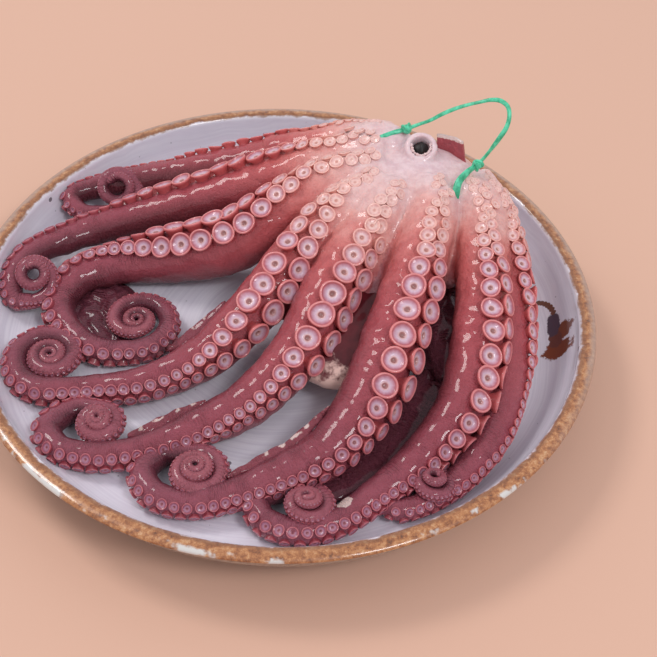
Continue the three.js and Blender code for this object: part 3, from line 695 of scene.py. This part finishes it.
# a sucker's outline as (radius, height, zone), for a rim of radius 1
SUCKER_FINE = [
    (0.60, -0.45, 0.0), (0.62, -0.05, 0.05), (0.72, 0.2, 0.15), (0.87, 0.4, 0.28), (0.97, 0.54, 0.38),
    (1.0, 0.64, 0.43), (0.985, 0.71, 0.46), (0.935, 0.76, 0.49), (0.87, 0.765, 0.51), (0.815, 0.73, 0.54),
    (0.775, 0.685, 0.57), (0.72, 0.655, 0.62), (0.62, 0.61, 0.7), (0.49, 0.55, 0.77), (0.37, 0.515, 0.82),
    (0.3, 0.52, 0.86), (0.26, 0.53, 0.89), (0.22, 0.5, 0.92), (0.19, 0.44, 0.95), (0.12, 0.38, 1.0),
]
SUCKER_PLAIN = [SUCKER_FINE[i] for i in (0, 2, 3, 5, 7, 8, 10, 12, 14, 16, 18, 19)]
SUCKER_SMALL = [SUCKER_FINE[i] for i in (0, 3, 5, 8, 11, 15, 19)]
# height factor against the distance from the crown
SUCKER_HEIGHT = ((8, 30, 60, 120, 190), (0.32, 0.6, 1.0, 1.0, 0.75))
# how much of a low bead a sucker is, near the mouth and towards the tip, against the same distance
SUCKER_BEAD = ((8, 55, 110, 190), (1.0, 0.0, 0.0, 1.0))
SUCKER_WALL_ZONE = 0.42
# the least sucker radius for each outline and number of sides
SUCKER_LEVELS = [(3.4, SUCKER_FINE, 28), (1.9, SUCKER_PLAIN, 18), (0.0, SUCKER_SMALL, 10)]


def sucker_size(arm, at):
    share = at / arm.largest_at
    early = arm.early if share < 1 else 1
    size = arm.largest * np.interp(share, *SUCKER_GROWTH) ** early
    if share > 1.2:
        size = max(size, arm.least)
        thick = np.interp(at, arm.at, arm.radius)
        size = min(size, thick * np.interp(thick, *SUCKER_SHARE_OF_ARM))
    return size


def seat_on_root(middle, facing, radius):
    """Where a sucker stands on the joined roots, and the way that the surface faces there."""
    start = middle + facing * radius * 1.7
    hit, normal, *_ = root_surface.ray_cast(Vector(start), Vector(-facing), radius * 1.7)
    if hit is None:
        return middle + facing * radius, facing
    return np.array(hit), np.array(normal)


def sucker_places(arm):
    places = []
    for row in (-1, 1):
        at = FIRST_SUCKER + (ROW_OFFSET if row > 0 else 0)
        while at < arm.length - 1:
            size = sucker_size(arm, at)
            middle, along, out, radius = arm.sample(at)
            stray = CROWN_UNEVENNESS * math.sin(at * 1.9 + row) * smooth(60, 25, at)
            aside = min(WIDEST_ROW, np.interp(radius, *ROW_PUSH) * size / radius)
            angle = row * math.asin(aside) + stray
            lean = angle + row * math.radians(SUCKER_SPLAY)
            across = np.cross(along, out)
            place = math.cos(angle) * out + math.sin(angle) * across
            facing = math.cos(lean) * out + math.sin(lean) * across
            foot = middle + place * (radius - 0.3 * size * smooth(3.4, 2.2, size))
            if at < arm.joined:
                foot, normal = seat_on_root(middle, place, radius)
                facing = unit(normal * 0.35 + facing * 0.65)
            places.append((at, size, foot, facing, along))
            at += (size + sucker_size(arm, at + 2 * size)) * SUCKER_PACKING
    return places


def sucker_mesh(profile, sides, at, size, foot, facing, along, random):
    """One sucker's points, with a slightly oval, wavy rim and a small tilt; a bead has a broader foot."""
    facing = unit(facing + random.normal(size=3) * 0.07)
    across = unit(np.cross(facing, along))
    ahead = np.cross(across, facing)
    radius, height, zone = np.array(profile).T
    broader = (1 - radius) * 0.8 * np.interp(at, *SUCKER_BEAD)
    radius = np.where(zone < SUCKER_WALL_ZONE, radius + broader, radius)
    angle = around(sides)
    wavy = 1 + 0.03 * np.sin(angle * 2 + random.uniform(0, 6))
    wavy = wavy + 0.02 * np.sin(angle * 3 + random.uniform(0, 6))
    lip = smooth(0.1, 0.6, height)[:, None]
    spread = radius[:, None] * (1 + (wavy - 1) * lip)
    rise = height[:, None] * (1 + 0.05 * np.sin(angle + random.uniform(0, 6)) * lip)
    tall = size * np.interp(at, *SUCKER_HEIGHT) * random.uniform(0.92, 1.1)
    wide = size * random.uniform(0.97, 1.03)
    points = (foot + across * (spread * np.cos(angle))[..., None] * wide
              + ahead * (spread * np.sin(angle))[..., None] * wide + facing * rise[..., None] * tall)
    return points.reshape(-1, 3)


def suckers_of(arm, seed):
    random = np.random.default_rng(seed)
    solids, zones, reaches, rays = [], [], [], []
    for at, size, foot, facing, along in sucker_places(arm):
        _, profile, sides = next(level for level in SUCKER_LEVELS if size >= level[0])
        points = sucker_mesh(profile, sides, at, size, foot, facing, along, random)
        *walls, _, hole = tube_faces(len(profile), sides)
        solids.append((points, [*walls, hole]))
        zones.append(np.repeat([zone for _, _, zone in profile], sides))
        reaches.append(np.full(len(points), at))
        rays.append(np.tile(random.uniform(0, 1, sides), len(profile)))
    add_piece(f"suckers_{arm.name}", *together(solids), suckers_skin, "skin",
              zone=np.hstack(zones), reach=np.hstack(reaches), ray=np.hstack(rays))


for number, each in enumerate(arms.values()):
    suckers_of(each, 100 + number)


# ---- mantle, beak, flap and loose skin ----

def mantle_material():
    m = Material("octopus_mantle", Roughness=0.4, IOR=1.4, Specular_IOR_Level=0.2, Coat_Weight=0.4,
                 Coat_Roughness=0.06)
    base = m.mix(m.between(m.noise(70, 4, 0.6), 0.35, 0.7), "6c222a", "521820")
    edge = m.math("MULTIPLY_ADD", m.either_side(130, 4, 0.6), 0.9, m.attribute("pale"))
    m.set("Base Color", m.mix(m.between(edge, 0.42, 0.6), base, "ecc4b8"))
    m.bump(m.noise(420, 4, 0.6), 0.0005, 0.5)
    return m.material


MANTLE_PALE_SPOT = (25, -39, 22)


def mantle():
    points, faces = egg(*MANTLE, across=120, down=80)
    outwards = unit(points - MANTLE[0])
    lumps = uneven(points, 30, 31) * 1.1 + uneven(points, 11, 32) * 0.35
    points = points + outwards * lumps[:, None]
    pale = smooth(24, 4, lengths(points - MANTLE_PALE_SPOT))
    add_piece("mantle", points, faces, mantle_material(), "skin", pale=pale)


def beak():
    m = Material("beak_horn", Roughness=0.5)
    m.set("Base Color", m.mix(m.noise(400, 3), "0c0a0a", "221b1a"))
    m.bump(m.noise(700, 3), 0.0003, 0.6)
    own, faces = egg((0, 0, -4.4), (4.6, 4.4, 4.4), 10, 40, 26)
    ridge = np.exp(-((own[:, 0] - 0.6) / 1.1) ** 2) * smooth(-5, 0, own[:, 2])
    own = own + UP * (ridge * 1.2)[:, None] + uneven(own, 3.0, 41)[:, None] * 0.12
    points = own @ MOUTH_AXES + MOUTH
    add_piece("beak_tip", points, faces, m.material, "beak", ["beak"])


mantle()
beak()


# two corners of the flap above and two below
FLAP_CORNERS = [(71, 77.5, 76.5), (84, 71.5, 77), (73.5, 76, 58), (88, 67.5, 58)]
FLAP_COLUMNS = 26
FLAP_ROWS = 30
FLAP_THICKNESS = 2.6
FLAP_BULGE = 1.2


def flap():
    """A thick, uneven flap of loose skin that stands up behind the mouth, with a pale cut edge."""
    u, v = (g.ravel() for g in np.meshgrid(np.linspace(0, 1, FLAP_COLUMNS), np.linspace(0, 1, FLAP_ROWS)))
    a, b, c, d = np.array(FLAP_CORNERS, float)
    flat = ((1 - u) * (1 - v))[:, None] * a + (u * (1 - v))[:, None] * b
    flat += ((1 - u) * v)[:, None] * c + (u * v)[:, None] * d
    through = unit(np.cross(b - a, c - a))
    bulge = FLAP_BULGE * np.sin(math.pi * u) * (1 - v * 0.5)
    flat += through * (bulge + uneven(flat, 9, 51) * 0.5)[:, None]
    edge = np.minimum(np.minimum(u, 1 - u) * FLAP_COLUMNS, np.minimum(v, 1 - v) * FLAP_ROWS)
    half = FLAP_THICKNESS / 2 * np.sqrt(np.clip(edge / 2 + 0.15, 0, 1))[:, None]
    flat += unit(b - a) * (uneven(flat, 6, 52) * 0.5 * (edge < 1))[:, None]
    count = len(flat)
    number = np.arange(count).reshape(FLAP_ROWS, FLAP_COLUMNS)
    border = np.r_[number[0], number[1:, -1], number[-1, -2::-1], number[-2:0:-1, 0]].tolist()
    top = grid_faces(FLAP_ROWS, FLAP_COLUMNS, wrap=False)
    faces = top.tolist() + (top[:, ::-1] + count).tolist()
    faces += [[i, i + count, j + count, j] for i, j in zip(border, border[1:] + border[:1])]
    v = np.tile(v, 2)
    add_skin("skin_flap", np.vstack([flat + through * half, flat - through * half]), faces,
             reach=95, side=0.3, along=5 * v, pale=smooth(0.12, 0.02, v) * 0.8)


def lip_crumbs():
    """Small soft crumbs around the front of the mouth's inner edge."""
    random = np.random.default_rng(61)
    crumbs = []
    for turn in np.linspace(math.pi * 0.95, math.pi * 2.1, 26):
        place = MOUTH + np.array([4.7 * math.cos(turn), 4.7 * math.sin(turn), 0.7]) @ MOUTH_AXES
        place += random.normal(size=3) * 0.18
        size = random.uniform(0.45, 0.85)
        crumbs.append(egg(place, size * np.array([1, 1, 0.9]), 0, 10, 7))
    add_skin("lip_crumbs", *together(crumbs), reach=14, side=1)


# the dark webs, darkened as painted shade, have the colour of an arm at this distance
SHADE_WEB_REACH = 230


def web_fold():
    """The folded web in the hollow of the third arm, its dark wine partly its own colour and partly painted
    shade.
    """
    points, faces = egg(*WEB_FOLD, across=110, down=60)
    away = points - WEB_FOLD[0]
    folds = np.sin(away[:, 0] * 0.7 + away[:, 1] * 0.3 + uneven(points, 12, 71) * 2.4)
    points = points + UP * (folds * 0.7 * smooth(0, 3, away[:, 2]))[:, None]
    add_skin("web_fold", points, faces, reach=SHADE_WEB_REACH, side=-1, along=points[:, 1])


def shaded_gap_web():
    """A web low down between the sixth and seventh arms, coloured dark as painted shade in the gap between
    them.
    """
    points, faces = egg(*SHADED_GAP_WEB, across=70, down=40)
    points = points + uneven(points, 9, 75)[:, None] * 0.8
    add_skin("shaded_gap_web", points, faces, reach=SHADE_WEB_REACH, side=-1, along=points[:, 1])


# Torn skin along the arms' far sides: points along it and how much of its upper ridge is pale, partly
# pale torn skin and partly a painted highlight. The last is a dark web between two arms, laid in the gap
# between them as painted shade, with its own width, height, reach and side.
SKIN_STRIPS = [
    ([(-27, -9.5, 37), (-36, -19.5, 32.5), (-45.5, -28.5, 29), (-51, -33, 27.5)], 0.4),
    ([(-31, -62.5, 26.5), (-44.5, -70, 24.5), (-57, -77.5, 22.5), (-64, -81, 21.5)], 0.56),
    ([(24.5, -66.5, 31.5), (8.5, -85, 27.5), (-5, -93.5, 24.5), (-18, -101, 22.5)], 0.54),
    ([(78, -22, 22), (68, -48, 19), (58, -67, 16), (45, -84, 13.5), (24, -101, 12.5)], 0, 25, 5, SHADE_WEB_REACH,
     -1),
]
STRIP_STEPS = 150
STRIP_SIDES = 24
STRIP_LOWEST = 10.35


def skin_strip(number, route, pale, width=5.5, height=2.6, reach=150, side=-0.1):
    at = np.linspace(0, 1, STRIP_STEPS)
    middle = spline(route, STRIP_STEPS)
    along = unit(np.gradient(middle, axis=0))
    ragged = 1 + 0.14 * uneven(middle, 9, 80 + number)
    half = width / 2 * np.sin(math.pi * (0.03 + 0.94 * at)) ** 0.6 * ragged
    angle = around(STRIP_SIDES)
    across = unit(np.cross(along, UP))[:, None] * (half[:, None] * np.cos(angle))[..., None]
    rise = height / 2 * np.sin(angle) * (1 + 0.9 * np.maximum(np.cos(angle), 0) ** 3)
    points = (middle[:, None] + across + UP * rise[:, None]).reshape(-1, 3)
    points = points + uneven(points, 7, 85 + number)[:, None] * 0.2
    points[:, 2] = np.maximum(points[:, 2], STRIP_LOWEST)
    # the pale lies on the strip's upper ridge: a painted highlight there, with pale torn skin
    ridge = np.tile(smooth(0.55, 0.95, np.cos(angle - 0.9)), STRIP_STEPS)
    pale_and_highlight = pale * ridge * (0.55 + 0.6 * uneven(points, 6, 95 + number))
    add_skin(f"skin_strip_{number}", points, tube_faces(STRIP_STEPS, STRIP_SIDES), reach=reach, side=side,
             along=np.repeat(at * 60, STRIP_SIDES), pale=pale_and_highlight)


flap()
lip_crumbs()
web_fold()
shaded_gap_web()
for number, facts in enumerate(SKIN_STRIPS, 1):
    skin_strip(number, *facts)


# ---- plate ----

PLATE_SIDES = 256
FLOOR_RADIUS = 118
# the rounding between floor and wall: its centre, and its radius inside and underneath
WALL_CENTRE = (120, 32)
WALL_INSIDE = 22
WALL_UNDERNEATH = 26
# the middle of the rim's top, where the glaze changes
RIM_TOP = (146.6, 34)
RIM = [(142.5, 33.2), (143.4, 33.8), (144.8, 34), RIM_TOP, (148.2, 33.8), (149.4, 33.3), (150, 32.5),
       (149.6, 31.7), (148.4, 30.9), (147, 29.8), (146, 28.4)]
FOOT = [(124, 6.6), (112, 5.4), (96, 4.6), (85, 4.2), (83.4, 3.6), (82.4, 1.6), (81.6, 0.4), (81, 0.02),
        (76, 0.02), (71.4, 0.02), (70.6, 0.5), (69.8, 2.0), (68.6, 3.4), (66, 3.7), (40, 3.7), (0, 3.7)]


def wall(radius, low, high):
    """Points of the wall's rounding between two angles in degrees."""
    angle = np.radians(np.linspace(low, high, 26))
    return np.stack([np.cos(angle), np.sin(angle)], -1) * radius + WALL_CENTRE


def plate_profile():
    """(radius, height) points from the middle of the glaze, over the rim, to the middle underneath."""
    floor = np.stack([np.linspace(0, FLOOR_RADIUS, 60), np.full(60, 10.0)], -1)
    return np.vstack([floor, wall(WALL_INSIDE, -90, 0), RIM, wall(WALL_UNDERNEATH, -11, -68), FOOT])


OCHRE_STOPS = [(0.32, "623820"), (0.45, "985c32"), (0.56, "b87c4c"), (0.68, "cca47c")]


def stoneware_material():
    """Grey-lilac glaze with brushed rings, an ochre rim with bare patches, and one brushed dab."""
    m = Material("stoneware_glaze", IOR=1.5, Coat_Weight=0.8, Coat_Roughness=0.06)
    rim = m.attribute("rim")
    flat = m.vector("MULTIPLY", m.place, (1, 1, 0))
    wobble = m.math("MULTIPLY_ADD", m.noise(14, 3), 0.006, m.vector("LENGTH", flat, output="Value"))
    rings = m.add("ShaderNodeCombineXYZ", {0: wobble, 1: m.times(m.noise(9, 2), 0.004)}).outputs[0]
    brushed = m.between(m.noise(620, 4, 0.7, rings), 0.3, 0.72)
    glaze = m.mix(brushed, "ded9e6", "f0edf6")
    cloud = m.between(m.noise(16, 4, 0.6), 0.35, 0.7)
    glaze = m.mix(m.times(cloud, 0.3), glaze, "d4cedc")
    speck = m.math("LESS_THAN", m.cells(42), 0.055)
    small_speck = m.times(m.math("LESS_THAN", m.cells(150), 0.06), 0.55)
    glaze = m.mix(m.times(m.math("MAXIMUM", speck, small_speck), 0.8), glaze, "4a4650")
    glaze = dab(m, glaze)
    # bands by the distance from the middle of the rim, outwards positive, with ragged edges
    edge = m.math("ADD", rim, m.times(m.either_side(120, 4, 0.65), 6))
    ochre = m.ramp(m.noise(360, 5, 0.76), OCHRE_STOPS)
    # the outer half of the rim is greyer, but for its front
    front = m.add("ShaderNodeSeparateXYZ", {0: m.place}).outputs["Y"]
    outer = m.times(m.between(edge, -1.0, 2.0, 0.0, 0.7), m.between(front, -0.1, -0.02))
    ochre = m.mix(outer, ochre, m.mix(m.noise(240, 4, 0.7), "8c7062", "c0a698"))
    colour = m.mix(m.between(edge, -4.6, -3.2), glaze, ochre)
    dark_line = m.times(m.between(edge, -4.8, -3.4), m.between(edge, -1.0, -2.6), 0.6)
    colour = m.mix(dark_line, colour, "764628")
    stone = m.mix(m.between(m.noise(380, 4, 0.7), 0.4, 0.62), "9e8c7c", "7e6858")
    colour = m.mix(m.between(edge, 6.5, 10.0), colour, stone)
    bare = m.times(m.between(m.noise(30, 5, 0.62), 0.52, 0.57), m.between(edge, 0.6, 2.2),
                   m.between(edge, 11.0, 8.0), m.between(front, -0.07, -0.11))
    colour = m.mix(bare, colour, "d0ccc8")
    # a pale line on the rim's inner edge: a painted highlight along the glossy edge
    line = m.times(m.between(rim, -5.2, -4.4), m.between(rim, -3.2, -4.0), 0.3)
    m.set("Base Color", m.mix(line, colour, "c4b8b2"))
    m.set("Roughness", m.between(edge, -6.0, 8.0, 0.22, 0.42))
    m.bump(m.math("MULTIPLY_ADD", m.noise(620, 3, 0.6, rings), 0.5, m.noise(45, 3)), 0.0004, 0.5)
    return m.material


# the brushed dab on the right wall, a rust stroke and a dark pool: centre, half size, how ragged, colour
DAB_PARTS = [
    ((137.4, 3, 19), (4, 5.6, 20), 1, "7a422c"),
    ((134.2, -8.2, 15.5), (7.2, 6, 20), 1, "7c402a"),
    ((133.8, -0.5, 15.5), (3, 6.5, 20), 0.8, "643a32"),
    ((133.6, 9.2, 15.2), (3.2, 7.6, 20), 0.7, "423c4c"),
]
# a thin curved stroke leads into the dab
DAB_PARTS += [((x, y, 14.5), (1.3, 1.5, 20), 0.35, "684232") for x, y in
              ((127.8, 26.3), (129.3, 25.5), (130.7, 24.3), (131.9, 22.8), (132.9, 21), (133.6, 19),
               (134.1, 16.8))]


def dab(m, colour):
    for centre, half, ragged, paint in DAB_PARTS:
        away = m.vector("SUBTRACT", m.place, [c * MM for c in centre])
        away = m.vector("MULTIPLY", away, [1 / (h * MM) for h in half])
        rough = m.times(m.either_side(260, 4, 0.65), ragged * 1.6)
        distance = m.math("ADD", m.vector("LENGTH", away, output="Value"), rough)
        colour = m.mix(m.between(distance, 1.05, 0.85), colour, paint)
    return colour


def plate():
    profile = plate_profile()
    angle = around(PLATE_SIDES)
    radius, height = profile[:, :1], profile[:, 1:]
    points = np.stack([radius * np.cos(angle), radius * np.sin(angle), height + 0 * angle], -1)
    faces = grid_faces(len(profile), PLATE_SIDES)[:, ::-1].tolist()
    at = np.r_[0, np.cumsum(lengths(np.diff(profile, axis=0)))]
    from_rim = at - at[np.abs(profile - RIM_TOP).sum(1).argmin()]
    add_piece("plate_glazed", points.reshape(-1, 3), faces, stoneware_material(), "stoneware", ["plate"],
              rim=np.repeat(from_rim, PLATE_SIDES))


plate()


# ---- twine ----

def twine_material():
    m = Material("twine_plastic", Roughness=0.45, Coat_Weight=0.3, Coat_Roughness=0.2)
    # a shaded and a highlit green mixed by noise: painted shade and painted highlight over the ribbon
    m.set("Base Color", m.mix(m.between(m.noise(330, 3, 0.6), 0.3, 0.7), "22a074", "5cd8ac"))
    m.bump(m.noise(2500, 2), 0.0002, 0.6)
    return m.material


def ribbon(material):
    """The flat ribbon along the twine's route, slightly twisted, and the path of its middle."""
    middle = spline(TWINE_ROUTE, TWINE_STEPS)
    along = unit(np.gradient(middle, axis=0))
    side = unit(np.cross(along, TWINE_FACING))
    over = np.cross(side, along)
    share = np.linspace(0, 1, TWINE_STEPS)
    turn = np.interp(share, *TWINE_TWIST)[:, None] * 2 * math.pi
    wide = np.cos(turn) * side + np.sin(turn) * over
    flat = np.cross(wide, along)
    angle = around(TWINE_SIDES)
    half_width = np.interp(share, *TWINE_WIDTH) / 2 * (1 + 0.12 * np.sin(share * 31))
    points = (middle[:, None] + wide[:, None] * (np.cos(angle) * half_width[:, None])[..., None]
              + flat[:, None] * (np.sin(angle) * TWINE_THICKNESS / 2)[:, None]).reshape(-1, 3)
    faces = tube_faces(TWINE_STEPS, TWINE_SIDES)
    return add_piece("twine_ribbon", points, faces, material, "twine"), middle


def knot(name, number, material):
    """A tight knot at one of the twine's route points: a lump with two turns over it."""
    before, centre, after = np.array(TWINE_ROUTE[number - 1:number + 2], float)
    along = unit(after - before)
    side = unit(np.cross(along, UP))
    axes = np.stack([side, np.cross(along, side), along])
    lump, faces = egg((0, 0, 0), (2.3, 2.0, 2.9), 0, 28, 20)
    solids = [(lump + uneven(lump, 2.2, 110 + number)[:, None] * 0.22, faces)]
    for offset, slope in ((-1.0, 0.35), (1.1, -0.4)):
        turn, faces = ring(2.0, 0.75, 36, 10)
        turn[:, 2] += offset + slope * turn[:, 0]
        solids.append((turn, faces))
    points, faces = together(solids)
    return add_piece(name, points @ axes + centre, faces, material, "twine")


def twine():
    material = twine_material()
    cord, path = ribbon(material)
    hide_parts("twine")
    knots = [knot(f"twine_knot_{number}", at, material) for number, at in enumerate(TWINE_KNOTS, 1)]


twine()


# ---- floor, light and sky ----

# what the lights face, in metres
LIT = (0, 0, 0.03)


def add_floor():
    m = Material("floor", Roughness=0.9, Base_Color=linear("d8ae98"))
    bpy.ops.mesh.primitive_plane_add(size=12, location=(0, 0, -0.0006))
    floor = bpy.context.object
    floor.name = "floor"
    floor.data.materials.append(m.material)


def add_light(name, place, size, power, colour):
    data = bpy.data.lights.new(name, "AREA")
    data.shape = "RECTANGLE"
    data.size, data.size_y = size
    data.energy = power
    data.color = colour
    light = bpy.data.objects.new(name, data)
    light.location = place
    light.rotation_euler = (Vector(LIT) - Vector(place)).to_track_quat("-Z", "Y").to_euler()
    bpy.context.collection.objects.link(light)


add_floor()
add_light("window_left", (-1.2, 0.56, 1.9), (0.6, 0.6), 15, (1.0, 0.98, 0.96))
add_light("window_front", (0.87, -1.0, 1.75), (0.56, 0.42), 12.5, (0.98, 0.98, 1.0))
world = bpy.data.worlds.new("studio")
world.use_nodes = True
background = world.node_tree.nodes["Background"].inputs
background["Color"].default_value = (0.95, 0.95, 1.0, 1.0)
background["Strength"].default_value = 0.74
bpy.context.scene.world = world
bpy.context.scene.view_settings.view_transform = "Standard"
